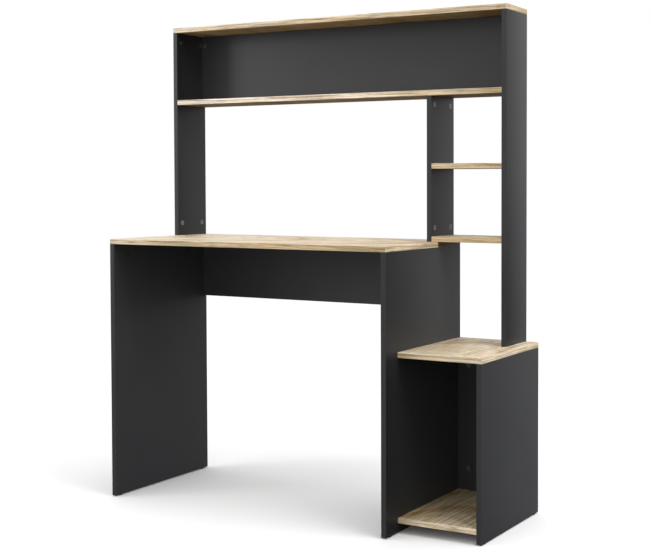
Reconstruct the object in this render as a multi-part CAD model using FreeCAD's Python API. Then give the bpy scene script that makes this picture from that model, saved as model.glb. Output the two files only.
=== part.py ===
import FreeCAD, Part
import os

Vector = FreeCAD.Vector

# Student desk with a hutch and a side tower, flat-pack boards held by cam locks. Millimetres.
# The origin is on the floor under the middle of the outline. Seen from the front,
# +X points to the right, +Y to the back and +Z up.

# Boards
board_t = 15.0
arris = 0.6

# Desk: two leg panels, a modesty panel between them, the desktop over the legs
desk_w = 948.0
desk_d = 420.0
desk_h = 766.0
modesty_h = 184.0

# Tower: open niche on the right of the right leg panel, flush with the desk's back
niche_w = 233.0
tower_d = 359.0
tower_h = 484.0
tower_floor_gap = 28.0

# Hutch: stands on the desktop and on the tower top, flush with the desk's back
hutch_d = 135.0
hutch_h = 651.0
top_bay_h = 211.0
hutch_inset = 37.0
divider_margin = 21.0

# Glides: round plastic feet nailed under the leg panels
glide_d = 14.0
glide_h = 3.0
glide_bevel = 1.0
glide_edge = 24.0
nail_d = 2.4
nail_len = 12.0

# Cam discs: a bore for each is drilled in the face of the board whose end is pulled tight
cam_d = 15.0
cam_depth = 12.4
cam_floor_gap = 0.6
cam_pocket_d = 11.2
cam_offset = 0.6
cross_len = 8.0
cross_w = 2.0
cross_depth = 1.8

# Cam bolts: screwed into the face of the other board, with the head caught in the disc
bolt_d = 5.0
bolt_head_d = 7.0
bolt_head_t = 2.0
bolt_seat = 3.4
bolt_grip = 10.5

# Dowels beside the cam locks
dowel_d = 8.0
dowel_grip = 9.5
dowel_len = 28.0

# Clearances
fit_gap = 0.05
play = 0.3
end_gap = 0.5
overrun = 1.0

# Distance of each cam disc from the end of its board
shelf_cam_setback = 34.0
foot_cam_setback = 39.0
head_cam_setback = 29.0
divider_head_setback = 24.0

# Places of the cam locks and dowels along their joints, from the nearer edge
leg_cam_front = 60.0
leg_cam_back = 90.0
leg_dowel_front = 92.0
leg_dowel_back = 45.0
modesty_dowel_edge = 34.0
modesty_top_dowel_edge = 230.0
tower_cam_edge = 60.0
tower_back_cam_edge = 63.0
hutch_cam_edge = 20.0
hutch_back_cam_edge = 12.0
hutch_back_dowel_edge = 280.0
shelf_dowel_pitch = 24.0

# Places that follow from the sizes
half_t = board_t / 2
overall_w = desk_w + niche_w + board_t
left = -overall_w / 2
front = -desk_d / 2
back = desk_d / 2
leg_right = left + desk_w
desk_under = desk_h - board_t
modesty_w = desk_w - 2 * board_t
tower_right = leg_right + niche_w + board_t
tower_front = back - tower_d
tower_under = tower_h - board_t
niche_floor = tower_floor_gap + board_t
niche_h = tower_under - niche_floor
hutch_front = back - hutch_d
hutch_right = tower_right - hutch_inset
hutch_roof = desk_h + hutch_h - board_t
hutch_inner_w = hutch_right - left - 2 * board_t
long_shelf_top = hutch_roof - top_bay_h
long_shelf_under = long_shelf_top - board_t
divider_right = leg_right - divider_margin
lower_shelf_top = desk_h + board_t
middle_shelf_under = (lower_shelf_top + long_shelf_under - board_t) / 2

RIGHT = Vector(1, 0, 0)
BACK = Vector(0, 1, 0)
UP = Vector(0, 0, 1)


def board(x0, x1, y0, y1, z0, z1):
    """A decor board between two corners, with its edges lightly broken."""
    solid = Part.makeBox(x1 - x0, y1 - y0, z1 - z0, Vector(x0, y0, z0))
    return solid.makeChamfer(arris, solid.Edges)


def make_boards():
    """The sixteen boards, before drilling."""
    inner_left = left + board_t
    leg_inner = leg_right - board_t
    tower_inner = tower_right - board_t
    hutch_inner_right = hutch_right - board_t
    back_face = back - board_t
    return {
        "desktop": board(left, leg_right, front, back, desk_under, desk_h),
        "left_leg_panel": board(left, inner_left, front, back, glide_h, desk_under),
        "right_leg_panel": board(leg_inner, leg_right, front, back, glide_h, desk_under),
        "modesty_panel": board(inner_left, leg_inner, back_face, back, desk_under - modesty_h, desk_under),
        "tower_top": board(leg_right, tower_right, tower_front, back, tower_under, tower_h),
        "tower_bottom": board(leg_right, tower_inner, tower_front, back, tower_floor_gap, niche_floor),
        "tower_side_panel": board(tower_inner, tower_right, tower_front, back, glide_h, tower_under),
        "tower_back_panel": board(leg_right, tower_inner, back_face, back, niche_floor, tower_under),
        "hutch_left_panel": board(left, inner_left, hutch_front, back, desk_h, hutch_roof),
        "hutch_right_panel": board(hutch_inner_right, hutch_right, hutch_front, back, tower_h, hutch_roof),
        "hutch_divider": board(divider_right - board_t, divider_right, hutch_front, back,
                               desk_h, long_shelf_under),
        "hutch_top": board(left, hutch_right, hutch_front, back, hutch_roof, hutch_roof + board_t),
        "hutch_long_shelf": board(inner_left, hutch_inner_right, hutch_front, back,
                                  long_shelf_under, long_shelf_top),
        "hutch_middle_shelf": board(divider_right, hutch_inner_right, hutch_front, back,
                                    middle_shelf_under, middle_shelf_under + board_t),
        "hutch_lower_shelf": board(divider_right, hutch_inner_right, hutch_front, back,
                                   desk_h, lower_shelf_top),
        "hutch_back_panel": board(inner_left, hutch_inner_right, back_face, back, long_shelf_top, hutch_roof),
    }


def rod(diameter, start, end):
    """A round bar along the local X axis."""
    return Part.makeCylinder(diameter / 2, end - start, Vector(start, 0, 0), RIGHT)


# Each fitting is drawn in the frame of its joint: X runs out of the end of the one board into the face of
# the other, Z points out of the face that holds the cam disc, and the origin is at half the board's
# thickness in the plane where the boards meet.


def cam_disc(setback):
    """Zinc disc, turned tight: an off-centre pocket holds the bolt's head, a half-round slot lets its neck
    pass, and the head enters through the wide gap on the far side."""
    radius = cam_d / 2 - fit_gap
    pocket_h = bolt_head_d + 2 * play
    slot_h = bolt_d + 2 * play
    disc = Part.makeCylinder(radius, cam_depth, Vector(0, 0, half_t - cam_depth))
    pocket = Part.makeCylinder(cam_pocket_d / 2, pocket_h, Vector(-cam_offset, 0, -pocket_h / 2))
    slot = Part.makeBox(2 * cam_d, cam_d, slot_h, Vector(-cam_d, -slot_h / 2, -slot_h / 2))
    entry = Part.makeBox(cam_d, pocket_h, pocket_h, Vector(-cam_d, -pocket_h / 2, -pocket_h / 2))
    cross_z = half_t - cross_depth
    cross_h = cross_depth + overrun
    bars = [
        Part.makeBox(cross_len, cross_w, cross_h, Vector(-cross_len / 2, -cross_w / 2, cross_z)),
        Part.makeBox(cross_w, cross_len, cross_h, Vector(-cross_w / 2, -cross_len / 2, cross_z)),
    ]
    disc = disc.cut([pocket, slot, entry] + bars)
    disc.translate(Vector(-setback, 0, 0))
    return disc


def cam_bolt(setback):
    """Steel bolt: a round rod with a flat head."""
    seat = bolt_seat - setback
    head = rod(bolt_head_d, seat - bolt_head_t, seat)
    return head.fuse(rod(bolt_d, seat, bolt_grip)).removeSplitter()


def cam_drilling(setback):
    """Bore for the disc and end hole for the bolt, in the board that is pulled tight."""
    depth = cam_depth + cam_floor_gap
    bore = Part.makeCylinder(cam_d / 2, depth + overrun, Vector(-setback, 0, half_t - depth))
    return [bore, rod(bolt_d + 2 * play, -setback, overrun)]


def bolt_drilling():
    """Hole for the bolt's thread, in the face of the other board."""
    return [rod(bolt_d + 2 * fit_gap, -overrun, bolt_grip + end_gap)]


def dowel():
    """Beech dowel, a plain rod."""
    return rod(dowel_d, dowel_grip - dowel_len, dowel_grip)


def dowel_drilling():
    """Hole for the dowel through both boards."""
    return [rod(dowel_d + 2 * fit_gap, dowel_grip - dowel_len - end_gap, dowel_grip + end_gap)]


def glide():
    """Round plastic foot with a bevelled sole and its nail, hanging from the bottom edge of a leg panel."""
    sole_r = glide_d / 2 - glide_bevel
    sole = Part.makeCone(sole_r, glide_d / 2, glide_bevel, Vector(0, 0, -glide_h))
    pad = Part.makeCylinder(glide_d / 2, glide_h - glide_bevel, Vector(0, 0, glide_bevel - glide_h))
    nail = Part.makeCylinder(nail_d / 2, nail_len)
    return sole.fuse([pad, nail]).removeSplitter()


def nail_drilling():
    """Hole for a glide's nail."""
    return Part.makeCylinder(nail_d / 2 + fit_gap, nail_len + end_gap + overrun, Vector(0, 0, -overrun))


def put(shape, origin, into, face):
    """A copy of a fitting in the frame of its joint."""
    turn = FreeCAD.Rotation(into, face.cross(into), face, "XZY")
    copy = shape.copy()
    copy.Placement = FreeCAD.Placement(origin, turn).multiply(copy.Placement)
    return copy


boards = make_boards()
drillings = {name: [] for name in boards}
fittings = {}


def join(end_board, face_board, section, origin, into, face, along, setback, cam_places, dowel_places):
    """Cam locks and dowels that draw the end of one board against the face of another."""
    kinds = (
        ("cam_discs", cam_disc(setback), cam_places),
        ("cam_bolts", cam_bolt(setback), cam_places),
        ("dowels", dowel(), dowel_places),
    )
    for kind, shape, places in kinds:
        for place in places:
            solid = put(shape, origin + along * place, into, face)
            fittings.setdefault(section + "_" + kind, []).append(solid)
    holes = (
        (end_board, cam_drilling(setback), cam_places),
        (face_board, bolt_drilling(), cam_places),
        (end_board, dowel_drilling(), dowel_places),
        (face_board, dowel_drilling(), dowel_places),
    )
    for name, tools, places in holes:
        for place in places:
            drillings[name].extend(put(tool, origin + along * place, into, face) for tool in tools)


def join_desk():
    """Desktop on the legs, and the modesty panel between the legs and under the desktop."""
    cams = [leg_cam_front, desk_d - leg_cam_back]
    dowels = [leg_dowel_front, desk_d - leg_dowel_back]
    legs = (("left_leg_panel", left + half_t, RIGHT), ("right_leg_panel", leg_right - half_t, -RIGHT))
    for name, x, inside in legs:
        join(name, "desktop", "desk", Vector(x, front, desk_under), UP, inside, BACK,
             shelf_cam_setback, cams, dowels)
    ends = (("left_leg_panel", left + board_t, -RIGHT), ("right_leg_panel", leg_right - board_t, RIGHT))
    for name, x, outward in ends:
        join("modesty_panel", name, "desk", Vector(x, back - half_t, desk_under), outward, BACK, -UP,
             shelf_cam_setback, [modesty_h / 2], [modesty_dowel_edge, modesty_h - modesty_dowel_edge])
    join("modesty_panel", "desktop", "desk", Vector(left + board_t, back - half_t, desk_under), UP, BACK,
         RIGHT, shelf_cam_setback, [], [modesty_top_dowel_edge, modesty_w - modesty_top_dowel_edge])


def join_tower():
    """Tower boards on the right leg panel and the tower's own side panel."""
    cams = [tower_cam_edge, tower_d - tower_cam_edge]
    dowels = [tower_d / 2]
    tower_inner = tower_right - board_t
    top_mid = tower_under + half_t
    join("tower_top", "right_leg_panel", "tower", Vector(leg_right, tower_front, top_mid), -RIGHT, -UP, BACK,
         shelf_cam_setback, cams, dowels)
    join("tower_side_panel", "tower_top", "tower", Vector(tower_right - half_t, tower_front, tower_under),
         UP, -RIGHT, BACK, shelf_cam_setback, cams, dowels)
    ends = (("right_leg_panel", leg_right, -RIGHT), ("tower_side_panel", tower_inner, RIGHT))
    for name, x, outward in ends:
        join("tower_bottom", name, "tower", Vector(x, tower_front, tower_floor_gap + half_t), outward, -UP,
             BACK, shelf_cam_setback, cams, dowels)
        join("tower_back_panel", name, "tower", Vector(x, back - half_t, niche_floor), outward, -BACK, UP,
             shelf_cam_setback, [tower_back_cam_edge, niche_h - tower_back_cam_edge], [])


def join_hutch():
    """Hutch panels on the boards below and above them, shelves between the panels, and the back panel."""
    edges = [hutch_cam_edge, hutch_d - hutch_cam_edge]
    uprights = (
        ("hutch_left_panel", left + half_t, RIGHT, "desktop", desk_h,
         "hutch_top", hutch_roof, head_cam_setback),
        ("hutch_right_panel", hutch_right - half_t, -RIGHT, "tower_top", tower_h,
         "hutch_top", hutch_roof, head_cam_setback),
        ("hutch_divider", divider_right - half_t, RIGHT, "desktop", desk_h,
         "hutch_long_shelf", long_shelf_under, divider_head_setback),
    )
    for name, x, face, below, foot_z, above, head_z, head_setback in uprights:
        join(name, below, "hutch", Vector(x, hutch_front, foot_z), -UP, face, BACK,
             foot_cam_setback, edges, [])
        join(name, above, "hutch", Vector(x, hutch_front, head_z), UP, face, BACK,
             head_setback, edges, [])

    middle = hutch_d / 2
    dowels = [middle - shelf_dowel_pitch, middle + shelf_dowel_pitch]
    shelves = (
        ("hutch_long_shelf", "hutch_left_panel", left + board_t, long_shelf_under),
        ("hutch_middle_shelf", "hutch_divider", divider_right, middle_shelf_under),
        ("hutch_lower_shelf", "hutch_divider", divider_right, desk_h),
    )
    for name, left_board, x, under in shelves:
        ends = ((left_board, x, -RIGHT), ("hutch_right_panel", hutch_right - board_t, RIGHT))
        for face_board, end_x, outward in ends:
            join(name, face_board, "hutch", Vector(end_x, hutch_front, under + half_t), outward, -UP, BACK,
                 shelf_cam_setback, [middle], dowels)

    corner = Vector(left + board_t, back - half_t, hutch_roof)
    join("hutch_back_panel", "hutch_top", "hutch", corner, UP, -BACK, RIGHT, head_cam_setback,
         [hutch_back_cam_edge, hutch_inner_w - hutch_back_cam_edge], [])
    join("hutch_back_panel", "hutch_long_shelf", "hutch", corner - UP * top_bay_h, -UP, -BACK, RIGHT,
         head_cam_setback, [], [hutch_back_dowel_edge, hutch_inner_w - hutch_back_dowel_edge])


def add_glides():
    """A glide near the front and the back of each leg panel."""
    feet = (
        ("left_leg_panel", left + half_t, front),
        ("right_leg_panel", leg_right - half_t, front),
        ("tower_side_panel", tower_right - half_t, tower_front),
    )
    for name, x, front_edge in feet:
        for y in (front_edge + glide_edge, back - glide_edge):
            spot = Vector(x, y, glide_h)
            fittings.setdefault("floor_glides", []).append(put(glide(), spot, RIGHT, UP))
            drillings[name].append(put(nail_drilling(), spot, RIGHT, UP))


join_desk()
join_tower()
join_hutch()
add_glides()

os.makedirs("parts", exist_ok=True)
for name, solid in boards.items():
    solid.cut(drillings[name]).Solids[0].exportStep("parts/" + name + ".step")
for name, solids in fittings.items():
    Part.makeCompound(solids).exportStep("parts/" + name + ".step")
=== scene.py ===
import math

import bpy
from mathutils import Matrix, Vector


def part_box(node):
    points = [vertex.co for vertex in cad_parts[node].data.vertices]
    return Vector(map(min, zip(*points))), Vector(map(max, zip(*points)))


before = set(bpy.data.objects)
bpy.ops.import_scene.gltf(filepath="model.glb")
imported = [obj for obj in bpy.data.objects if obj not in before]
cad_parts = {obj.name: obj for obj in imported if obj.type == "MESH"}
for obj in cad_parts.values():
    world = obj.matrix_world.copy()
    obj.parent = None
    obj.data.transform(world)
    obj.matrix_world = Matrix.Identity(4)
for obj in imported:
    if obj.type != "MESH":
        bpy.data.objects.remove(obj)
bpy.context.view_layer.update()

# Looks of a student desk with a hutch. Metres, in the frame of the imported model:
# seen from the front +X points to the right, +Y to the back and +Z up.

# Photograph frame and camera. The lens axis meets the picture right of its middle and above it, so the lens
# is shifted by as much. The camera looks down a little, which keeps the upward shift small.
IMAGE_W = 650
IMAGE_H = 551
FOCAL_PX = 1200.3
AXIS_U_PX = 459.9
AXIS_V_PX = 224.0
SENSOR_W_MM = 36.0
CAMERA_PLACE = Vector((1.9544, -2.8730, 0.9288))
CAMERA_YAW_DEG = 27.51
CAMERA_DOWN_DEG = 1.92
LEVEL_DEG = 90.0

# Studio: even pale surroundings, three softboxes, and a floor that looks pale but throws little light back
FLOOR_SIZE = 60.0
FLOOR_SEEN = (1.0, 1.0, 1.0, 1.0)
FLOOR_BOUNCE = (0.20, 0.20, 0.20, 1.0)
FLOOR_ROUGHNESS = 1.0
FLOOR_SPECULAR = 0.0
SKY_COLOUR = (1.0, 1.0, 1.0, 1.0)
SKY_LIGHT = 1.0

# Softboxes: place, point they face, width, height, watts
SOFTBOXES = {
    "key_left": ((-3.9, -2.8, 1.8), (0.0, 0.0, 0.8), 1.3, 1.3, 42.0),
    "right_high": ((2.2, -0.45, 3.0), (0.2, 0.0, 0.7), 1.6, 1.6, 42.0),
    "front_low": ((0.6, -4.0, 0.6), (0.0, 0.0, 0.4), 1.6, 0.8, 16.0),
}

# Light oak boards, with the axis that their grain follows (0 is X, 1 is Y)
OAK_GRAIN_AXES = {
    "desktop": 0,
    "tower_top": 1,
    "tower_bottom": 1,
    "hutch_top": 0,
    "hutch_long_shelf": 0,
    "hutch_middle_shelf": 0,
    "hutch_lower_shelf": 0,
}

# Painted light and shade on the oak: how light the decor is painted at the board's left end, in its middle
# and at its right end, how light the front and back edge bands are beside that at the same places, and how
# light the underside is beside it, as painted shade
OAK_LIGHT_AND_SHADE_SHARES = {
    "desktop": ((1.14, 1.03, 0.90), (0.94, 0.78, 0.75), 0.56),
    "tower_top": ((0.99, 1.02, 1.06), (1.00, 1.00, 1.00), 0.56),
    "tower_bottom": ((0.74, 0.98, 1.00), (1.40, 1.06, 1.02), 0.56),
    "hutch_top": ((1.08, 1.02, 0.82), (1.00, 1.02, 1.11), 0.62),
    "hutch_long_shelf": ((1.19, 1.12, 0.74), (1.12, 1.12, 1.00), 0.37),
    "hutch_middle_shelf": ((0.88, 0.86, 0.86), (1.00, 1.00, 1.00), 0.56),
    "hutch_lower_shelf": ((0.80, 0.80, 0.78), (1.00, 1.00, 1.00), 0.56),
}

# Powers of such a share in red, green and blue, which make painted light whiter and painted shade browner
WARMTH_POWERS = (1.0, 1.3, 2.0)

# Painted shadow of the lower shelf: the desktop's right end is painted dark where the lower shelf lies over
# it
COVERED_END = "desktop"
COVERING = "hutch_lower_shelf"
SHELF_SHADOW_SHARE = 0.20

# Least part of a unit normal along an axis on a face that is taken to look along that axis, and on a face
# that is taken to be flat and not a rounded arris
FACING = 0.7
FLAT = 0.85

# How far the tone of an arris covers the decor there: a painted highlight on the oak, and rubbed wear with a
# painted highlight on the anthracite
ARRIS_WEAR_AND_HIGHLIGHT_SHARE = 0.5

# Oak colours by the strength of the figure, and how much of the figure is growth rings and streaks
OAK_TONES = (
    (0.33, (0.420, 0.262, 0.122, 1.0)),
    (0.44, (0.690, 0.515, 0.310, 1.0)),
    (0.53, (0.800, 0.655, 0.455, 1.0)),
    (0.66, (0.900, 0.795, 0.620, 1.0)),
)
# Painted highlight on the oak's rounded arrises
OAK_ARRIS_HIGHLIGHT = (0.90, 0.80, 0.64, 1.0)
RING_SHARE = 0.50
STREAK_SHARE = 0.50

# Growth rings run round a heart line below the board. It sinks along the grain, lies deeper by an extra
# depth, stands a little to one side that changes from board to board, and is warped sideways.
HEART_SLOPE = 0.05
HEART_DEPTH = 0.03
HEART_SWING = 0.02
HEART_TURN = 2.1
HEART_WARP = 0.11
RING_SCALE = 190.0
RING_DETAIL = 3.0
RING_ROUGHNESS = 0.6

# Patterns that follow a grain: cells per metre along and across it, detail, roughness, distortion
GRAIN_PATTERNS = {
    "warp": ((2.2, 9.0), 2.0, 0.5, 0.4),
    "streak": ((3.5, 120.0), 3.0, 0.6, 0.4),
    "fibre": ((6.0, 230.0), 4.0, 0.7, 0.0),
    "pore": ((17.0, 400.0), 1.0, 0.5, 0.0),
    "saw": ((260.0, 9.0), 1.0, 0.5, 0.0),
    "fleck": ((120.0, 900.0), 3.0, 0.5, 0.0),
}

# Patterns without a grain: cells per metre, detail, roughness
EVEN_PATTERNS = {
    "cloud": (5.0, 3.0, 0.5),
    "pearl": (1400.0, 2.0, 0.5),
    "mottle": (420.0, 4.0, 0.65),
    "pits": (2600.0, 2.0, 0.5),
    "scuff": (300.0, 4.0, 0.7),
}

# How light a decor is where its pattern has a given strength: strength, share
FIBRE_SHARES = ((0.38, 0.56), (0.57, 1.14))
PORE_SHARES = ((0.33, 0.40), (0.40, 1.00))
SAW_SHARES = ((0.40, 0.96), (0.55, 1.00))
PEARL_SHARES = ((0.30, 0.88), (0.70, 1.12))

# How far the pores darken the oak
PORE_DEPTH_SHARE = 0.7

# Offsets in the pattern from one board to the next
OAK_STEP = (1.37, 0.73, 0.41)
DARK_STEP = (0.9, 0.5, 0.7)

# Anthracite boards and their colours by the strength of the cloudiness
DARK_BOARDS = (
    "left_leg_panel",
    "right_leg_panel",
    "modesty_panel",
    "tower_side_panel",
    "tower_back_panel",
    "hutch_left_panel",
    "hutch_right_panel",
    "hutch_divider",
    "hutch_back_panel",
)
DARK_TONES = (
    (0.30, (0.0303, 0.0310, 0.0330, 1.0)),
    (0.70, (0.0343, 0.0350, 0.0372, 1.0)),
)
# Lighter tone on the anthracite's rounded arrises: rubbed wear and a painted highlight
DARK_ARRIS_WEAR_AND_HIGHLIGHT = (0.060, 0.060, 0.060, 1.0)

# Dark boards with one face whose painted light and shade change slowly: the way that face looks, the axis
# that the painted light runs along (0 is X, 1 is Y), and how light the face is painted at the low end and at
# the high end of that axis
FRONT = (0.0, -1.0, 0.0)
RIGHT = (1.0, 0.0, 0.0)
PAINTED_LIGHT_FACES = {
    "left_leg_panel": (RIGHT, 1, (1.25, 1.55)),
    "right_leg_panel": (RIGHT, 1, (0.55, 2.20)),
    "modesty_panel": (FRONT, 0, (1.00, 2.40)),
    "tower_side_panel": (RIGHT, 1, (1.00, 1.90)),
    "hutch_left_panel": (RIGHT, 1, (0.40, 1.20)),
    "hutch_right_panel": (RIGHT, 1, (0.20, 1.95)),
    "hutch_divider": (RIGHT, 1, (0.30, 2.10)),
    "hutch_back_panel": (FRONT, 0, (1.25, 1.45)),
}

# Metals, darkest and lightest grey and where in the mottle they lie. The cast zinc of the cam discs has
# darker greys under the desktop and in the tower, as painted shade, and plain greys in the hutch.
MOTTLE_STOPS = (0.3, 0.7)
STEEL_GREYS = (0.48, 0.60)
ZINC_GREYS = {
    "desk": (0.100, 0.150),
    "tower": (0.110, 0.170),
    "hutch": (0.190, 0.280),
}

# Colours of the dowels' beech and of the glides' plastic by the strength of their pattern
BEECH_TONES = (
    (0.35, (0.46, 0.29, 0.15, 1.0)),
    (0.65, (0.62, 0.43, 0.25, 1.0)),
)
PLASTIC_GREYS = ((0.40, 0.012), (0.75, 0.030))

# Sheen: specular level, and roughness as its spread with the pattern and its least value
OAK_SPECULAR = 0.25
DARK_SPECULAR = 0.26
OAK_ROUGHNESS = (0.16, 0.42)
DARK_ROUGHNESS = (0.12, 0.36)
STEEL_ROUGHNESS = (0.20, 0.25)
ZINC_ROUGHNESS = (0.20, 0.36)
PLASTIC_ROUGHNESS = (0.30, 0.35)
BEECH_ROUGHNESS = 0.7

# Fine relief: strength, and height in metres
OAK_RELIEF = (0.25, 0.0002)
DARK_RELIEF = (0.18, 0.0001)
METAL_RELIEF = (0.20, 0.0001)
BEECH_RELIEF = (0.30, 0.0002)
PLASTIC_RELIEF = (0.15, 0.0001)

# Sockets of a Mix node for each kind of value: the first input, the second input and the result
MIX_SOCKETS = {
    "RGBA": (6, 7, 2),
    "VECTOR": (4, 5, 1),
}


def grey(value):
    return (value, value, value, 1.0)


class Graph:
    """Short way to build a node tree for one material."""

    def __init__(self, name):
        self.material = bpy.data.materials.new(name)
        self.material.use_nodes = True
        self.tree = self.material.node_tree
        self.shader = self.tree.nodes["Principled BSDF"]

    def add(self, kind, inputs=None, **settings):
        node = self.tree.nodes.new(kind)
        for key, value in settings.items():
            setattr(node, key, value)
        for key, value in (inputs or {}).items():
            self.feed(node.inputs[key], value)
        return node

    def feed(self, socket, value):
        if isinstance(value, bpy.types.NodeSocket):
            self.tree.links.new(value, socket)
        else:
            socket.default_value = value

    def place(self):
        return self.add("ShaderNodeTexCoord").outputs["Object"]

    def normal(self):
        return self.add("ShaderNodeNewGeometry").outputs["Normal"]

    def split(self, vector):
        return self.add("ShaderNodeSeparateXYZ", {0: vector}).outputs

    def join(self, x, y, z):
        return self.add("ShaderNodeCombineXYZ", {0: x, 1: y, 2: z}).outputs[0]

    def move(self, vector, shift):
        return self.add("ShaderNodeVectorMath", {0: vector, 1: shift}).outputs[0]

    def stretch(self, vector, along, across):
        """Coordinates pulled out along the grain."""
        inputs = {0: vector, 1: (along, across, across)}
        return self.add("ShaderNodeVectorMath", inputs, operation="MULTIPLY").outputs[0]

    def math(self, operation, first, second=0.0):
        return self.add("ShaderNodeMath", {0: first, 1: second}, operation=operation).outputs[0]

    def noise(self, vector, scale, detail, roughness, distortion=0.0):
        inputs = {
            "Vector": vector,
            "Scale": scale,
            "Detail": detail,
            "Roughness": roughness,
            "Distortion": distortion,
        }
        return self.add("ShaderNodeTexNoise", inputs).outputs["Fac"]

    def even_noise(self, vector, pattern):
        return self.noise(vector, *EVEN_PATTERNS[pattern])

    def grain_noise(self, grain, pattern):
        cells, *settings = GRAIN_PATTERNS[pattern]
        return self.noise(self.stretch(grain, *cells), 1.0, *settings)

    def ramp(self, factor, stops):
        node = self.add("ShaderNodeValToRGB", {"Fac": factor})
        elements = node.color_ramp.elements
        while len(elements) < len(stops):
            elements.new(1.0)
        for element, (place, colour) in zip(elements, stops):
            element.position = place
            element.color = colour
        return node.outputs["Color"]

    def grey_ramp(self, factor, stops):
        return self.ramp(factor, [(place, grey(value)) for place, value in stops])

    def mix(self, factor, first, second, blend="MIX", kind="RGBA"):
        first_at, second_at, result_at = MIX_SOCKETS[kind]
        node = self.add("ShaderNodeMix", {"Factor": factor}, data_type=kind, blend_type=blend)
        self.feed(node.inputs[first_at], first)
        self.feed(node.inputs[second_at], second)
        return node.outputs[result_at]

    def multiply(self, first, second, share=1.0):
        return self.mix(share, first, second, "MULTIPLY")

    def dress(self, socket, value):
        self.feed(self.shader.inputs[socket], value)

    def roughen(self, pattern, spread, least):
        inputs = {0: pattern, 1: spread, 2: least}
        self.dress("Roughness", self.add("ShaderNodeMath", inputs, operation="MULTIPLY_ADD").outputs[0])

    def emboss(self, pattern, strength, height):
        inputs = {"Strength": strength, "Distance": height, "Height": pattern}
        self.dress("Normal", self.add("ShaderNodeBump", inputs).outputs["Normal"])


def pattern_shift(seed, step):
    """Offset that gives each board its own stretch of a pattern."""
    return tuple(seed * part for part in step)


def grain_coordinates(graph, axis, shift):
    """Coordinates along, across and through the grain, turned on the ends to follow the edge band."""
    part = graph.split(graph.move(graph.place(), shift))
    along, across, through = part[axis], part[1 - axis], part[2]
    straight = graph.join(along, across, through)
    turned = graph.join(across, along, through)
    lean = graph.math("ABSOLUTE", graph.split(graph.normal())[axis])
    is_end = graph.math("GREATER_THAN", lean, FACING)
    return graph.mix(is_end, straight, turned, kind="VECTOR")


def painted_light_colour(share):
    """Colour of painted light and shade on the decor: painted light is whiter, painted shade browner."""
    return (*(share ** power for power in WARMTH_POWERS), 1.0)


def tone_stops(shares):
    """Even stops of a ramp from the board's left end to its right end."""
    last = len(shares) - 1
    return [(index / last, painted_light_colour(share)) for index, share in enumerate(shares)]


def painted_light_and_shade(graph, node):
    """Painted light and shade along the board and on its edge bands and underside, and on the desktop's end a
    painted shadow of the lower shelf.
    """
    shares, band_shares, under_shade_share = OAK_LIGHT_AND_SHADE_SHARES[node]
    low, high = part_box(node)
    place = graph.split(graph.place())
    inputs = {"Value": place[0], "From Min": low[0], "From Max": high[0]}
    along = graph.add("ShaderNodeMapRange", inputs).outputs["Result"]
    normal = graph.split(graph.normal())
    is_band = graph.math("GREATER_THAN", graph.math("ABSOLUTE", normal[1]), FACING)
    is_under = graph.math("LESS_THAN", normal[2], -FACING)
    tone = graph.ramp(along, tone_stops(shares))
    tone = graph.multiply(tone, graph.ramp(along, tone_stops(band_shares)), is_band)
    tone = graph.multiply(tone, painted_light_colour(under_shade_share), is_under)
    # Painted shadow of the lower shelf on the desktop's right end
    if node == COVERED_END:
        is_end = graph.math("GREATER_THAN", normal[0], FACING)
        is_behind = graph.math("GREATER_THAN", place[1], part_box(COVERING)[0][1])
        is_in_shelf_shadow = graph.math("MULTIPLY", is_end, is_behind)
        tone = graph.multiply(tone, painted_light_colour(SHELF_SHADOW_SHARE), is_in_shelf_shadow)
    return tone


def arris_wear_and_highlight(graph):
    """How far the arris tone covers the decor, a painted highlight and on the anthracite also rubbed wear:
    only on rounded edges, where the normal leans off all axes.
    """
    size = graph.add("ShaderNodeVectorMath", {0: graph.normal()}, operation="ABSOLUTE").outputs[0]
    part = graph.split(size)
    largest = graph.math("MAXIMUM", graph.math("MAXIMUM", part[0], part[1]), part[2])
    return graph.math("MULTIPLY", graph.math("LESS_THAN", largest, FLAT), ARRIS_WEAR_AND_HIGHLIGHT_SHARE)


def growth_rings(graph, grain, middle, seed):
    """Flat-sawn figure: nested arches where the board cuts through the tapering rings."""
    part = graph.split(grain)
    warp = graph.math("MULTIPLY", graph.grain_noise(grain, "warp"), HEART_WARP)
    side = graph.math("ADD", graph.math("SUBTRACT", part[1], middle[1]), warp)
    side = graph.math("SUBTRACT", side, HEART_WARP / 2 + HEART_SWING * math.sin(seed * HEART_TURN))
    sunk = graph.math("MULTIPLY", graph.math("SUBTRACT", part[0], middle[0]), HEART_SLOPE)
    depth = graph.math("ADD", graph.math("ADD", sunk, HEART_DEPTH), part[2])
    square = graph.math("ADD", graph.math("MULTIPLY", side, side), graph.math("MULTIPLY", depth, depth))
    inputs = {
        "W": graph.math("SQRT", square),
        "Scale": RING_SCALE,
        "Detail": RING_DETAIL,
        "Roughness": RING_ROUGHNESS,
    }
    return graph.add("ShaderNodeTexNoise", inputs, noise_dimensions="1D").outputs["Fac"]


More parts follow.
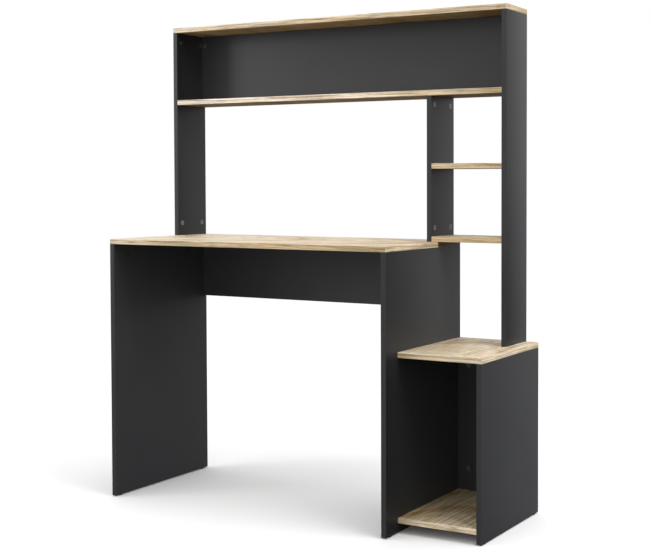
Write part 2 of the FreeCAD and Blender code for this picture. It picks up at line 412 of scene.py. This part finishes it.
def oak_material(node, axis, seed):
    """Light oak melamine: arched figure, streaks, fine fibres, dark pores and saw marks across the grain,
    with painted light and shade along the boards and a painted highlight on the arrises.
    """
    graph = Graph("oak_" + node)
    shift = pattern_shift(seed, OAK_STEP)
    grain = grain_coordinates(graph, axis, shift)
    low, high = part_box(node)
    middle = [(low[i] + high[i]) / 2 + shift[i] for i in (axis, 1 - axis)]
    rings = graph.math("MULTIPLY", growth_rings(graph, grain, middle, seed), RING_SHARE)
    streaks = graph.math("MULTIPLY", graph.grain_noise(grain, "streak"), STREAK_SHARE)
    fibre = graph.grain_noise(grain, "fibre")
    pores = graph.grey_ramp(graph.grain_noise(grain, "pore"), PORE_SHARES)
    colour = graph.ramp(graph.math("ADD", rings, streaks), OAK_TONES)
    colour = graph.multiply(colour, graph.grey_ramp(fibre, FIBRE_SHARES))
    colour = graph.multiply(colour, pores, PORE_DEPTH_SHARE)
    colour = graph.multiply(colour, graph.grey_ramp(graph.grain_noise(grain, "saw"), SAW_SHARES))
    # Painted light and shade along the board, on its edge bands and underneath
    colour = graph.multiply(colour, painted_light_and_shade(graph, node))
    # Painted highlight on the rounded arrises
    graph.dress("Base Color", graph.mix(arris_wear_and_highlight(graph), colour, OAK_ARRIS_HIGHLIGHT))
    graph.dress("Specular IOR Level", OAK_SPECULAR)
    graph.roughen(fibre, *OAK_ROUGHNESS)
    graph.emboss(graph.math("ADD", fibre, pores), *OAK_RELIEF)
    return graph.material


def painted_face_light(graph, node, looks, axis, shares):
    """Painted light and shade that changes slowly along one axis on the face that looks one way, and one on
    the other faces.
    """
    low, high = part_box(node)
    inputs = {
        "Value": graph.split(graph.place())[axis],
        "From Min": low[axis],
        "From Max": high[axis],
        "To Min": shares[0],
        "To Max": shares[1],
    }
    tone = graph.add("ShaderNodeMapRange", inputs).outputs["Result"]
    turn = graph.add("ShaderNodeVectorMath", {0: graph.normal(), 1: looks}, operation="DOT_PRODUCT")
    is_face = graph.math("GREATER_THAN", turn.outputs["Value"], FACING)
    inputs = {"Value": is_face, "To Min": 1.0, "To Max": tone}
    return graph.add("ShaderNodeMapRange", inputs).outputs["Result"]


def dark_material(node, seed):
    """Anthracite melamine: matt, with a fine pearl texture, faint cloudiness, lighter arrises that are rubbed
    wear and a painted highlight, and painted light and shade on some faces.
    """
    graph = Graph("anthracite_" + node)
    place = graph.move(graph.place(), pattern_shift(seed, DARK_STEP))
    pearl = graph.even_noise(place, "pearl")
    colour = graph.ramp(graph.even_noise(place, "cloud"), DARK_TONES)
    colour = graph.multiply(colour, graph.grey_ramp(pearl, PEARL_SHARES))
    # Painted light and shade on one face of some boards
    if node in PAINTED_LIGHT_FACES:
        colour = graph.multiply(colour, painted_face_light(graph, node, *PAINTED_LIGHT_FACES[node]))
    # Lighter arrises: rubbed wear and a painted highlight
    graph.dress("Base Color", graph.mix(arris_wear_and_highlight(graph), colour, DARK_ARRIS_WEAR_AND_HIGHLIGHT))
    graph.dress("Specular IOR Level", DARK_SPECULAR)
    graph.roughen(pearl, *DARK_ROUGHNESS)
    graph.emboss(pearl, *DARK_RELIEF)
    return graph.material


def metal_material(name, greys, roughness):
    """Cast or plated metal with mottled tone and roughness."""
    graph = Graph(name)
    place = graph.place()
    mottle = graph.even_noise(place, "mottle")
    graph.dress("Base Color", graph.grey_ramp(mottle, zip(MOTTLE_STOPS, greys)))
    graph.dress("Metallic", 1.0)
    graph.roughen(mottle, *roughness)
    graph.emboss(graph.even_noise(place, "pits"), *METAL_RELIEF)
    return graph.material


def beech_material(name):
    """Raw turned beech with short flecks."""
    graph = Graph(name)
    fleck = graph.grain_noise(graph.place(), "fleck")
    graph.dress("Base Color", graph.ramp(fleck, BEECH_TONES))
    graph.dress("Roughness", BEECH_ROUGHNESS)
    graph.emboss(fleck, *BEECH_RELIEF)
    return graph.material


def plastic_material(name):
    """Black moulded plastic, scuffed a little."""
    graph = Graph(name)
    scuff = graph.even_noise(graph.place(), "scuff")
    graph.dress("Base Color", graph.grey_ramp(scuff, PLASTIC_GREYS))
    graph.roughen(scuff, *PLASTIC_ROUGHNESS)
    graph.emboss(scuff, *PLASTIC_RELIEF)
    return graph.material


def finish_node(name, material):
    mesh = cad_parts[name].data
    mesh.materials.clear()
    mesh.materials.append(material)


def dress_boards():
    for seed, (name, axis) in enumerate(OAK_GRAIN_AXES.items(), start=1):
        finish_node(name, oak_material(name, axis, seed))
    for seed, name in enumerate(DARK_BOARDS, start=1):
        finish_node(name, dark_material(name, seed))


def dress_fittings():
    steel = metal_material("plated_steel", STEEL_GREYS, STEEL_ROUGHNESS)
    beech = beech_material("raw_beech")
    # The darker zinc greys under the desktop and in the tower are painted shade
    for section, greys in ZINC_GREYS.items():
        finish_node(section + "_cam_discs", metal_material("cast_zinc_" + section, greys, ZINC_ROUGHNESS))
        finish_node(section + "_cam_bolts", steel)
        finish_node(section + "_dowels", beech)
    finish_node("floor_glides", plastic_material("black_plastic"))


def make_floor():
    half = FLOOR_SIZE / 2
    mesh = bpy.data.meshes.new("floor")
    corners = [(-half, -half, 0.0), (half, -half, 0.0), (half, half, 0.0), (-half, half, 0.0)]
    mesh.from_pydata(corners, [], [(0, 1, 2, 3)])
    floor = bpy.data.objects.new("floor", mesh)
    bpy.context.scene.collection.objects.link(floor)
    graph = Graph("floor_pale")
    direct = graph.add("ShaderNodeLightPath").outputs["Is Camera Ray"]
    graph.dress("Base Color", graph.mix(direct, FLOOR_BOUNCE, FLOOR_SEEN))
    graph.dress("Roughness", FLOOR_ROUGHNESS)
    graph.dress("Specular IOR Level", FLOOR_SPECULAR)
    mesh.materials.append(graph.material)


def make_world():
    """Even pale surroundings."""
    world = bpy.data.worlds.new("studio")
    world.use_nodes = True
    background = world.node_tree.nodes["Background"]
    background.inputs["Color"].default_value = SKY_COLOUR
    background.inputs["Strength"].default_value = SKY_LIGHT
    bpy.context.scene.world = world


def make_lights():
    for name, (place, target, width, height, watts) in SOFTBOXES.items():
        data = bpy.data.lights.new(name, "AREA")
        data.shape = "RECTANGLE"
        data.size = width
        data.size_y = height
        data.energy = watts
        light = bpy.data.objects.new(name, data)
        light.location = place
        light.rotation_euler = (Vector(target) - Vector(place)).to_track_quat("-Z", "Y").to_euler()
        bpy.context.scene.collection.objects.link(light)


def make_camera():
    data = bpy.data.cameras.new("photo_camera")
    data.sensor_fit = "HORIZONTAL"
    data.sensor_width = SENSOR_W_MM
    data.lens = FOCAL_PX * SENSOR_W_MM / IMAGE_W
    data.shift_x = (IMAGE_W / 2 - AXIS_U_PX) / IMAGE_W
    data.shift_y = (AXIS_V_PX - IMAGE_H / 2) / IMAGE_W
    camera = bpy.data.objects.new("photo_camera", data)
    camera.location = CAMERA_PLACE
    camera.rotation_euler = (math.radians(LEVEL_DEG - CAMERA_DOWN_DEG), 0.0, math.radians(CAMERA_YAW_DEG))
    bpy.context.scene.collection.objects.link(camera)
    bpy.context.scene.camera = camera


bpy.context.scene.view_settings.view_transform = "Standard"
make_camera()
make_world()
make_lights()
make_floor()
dress_boards()
dress_fittings()
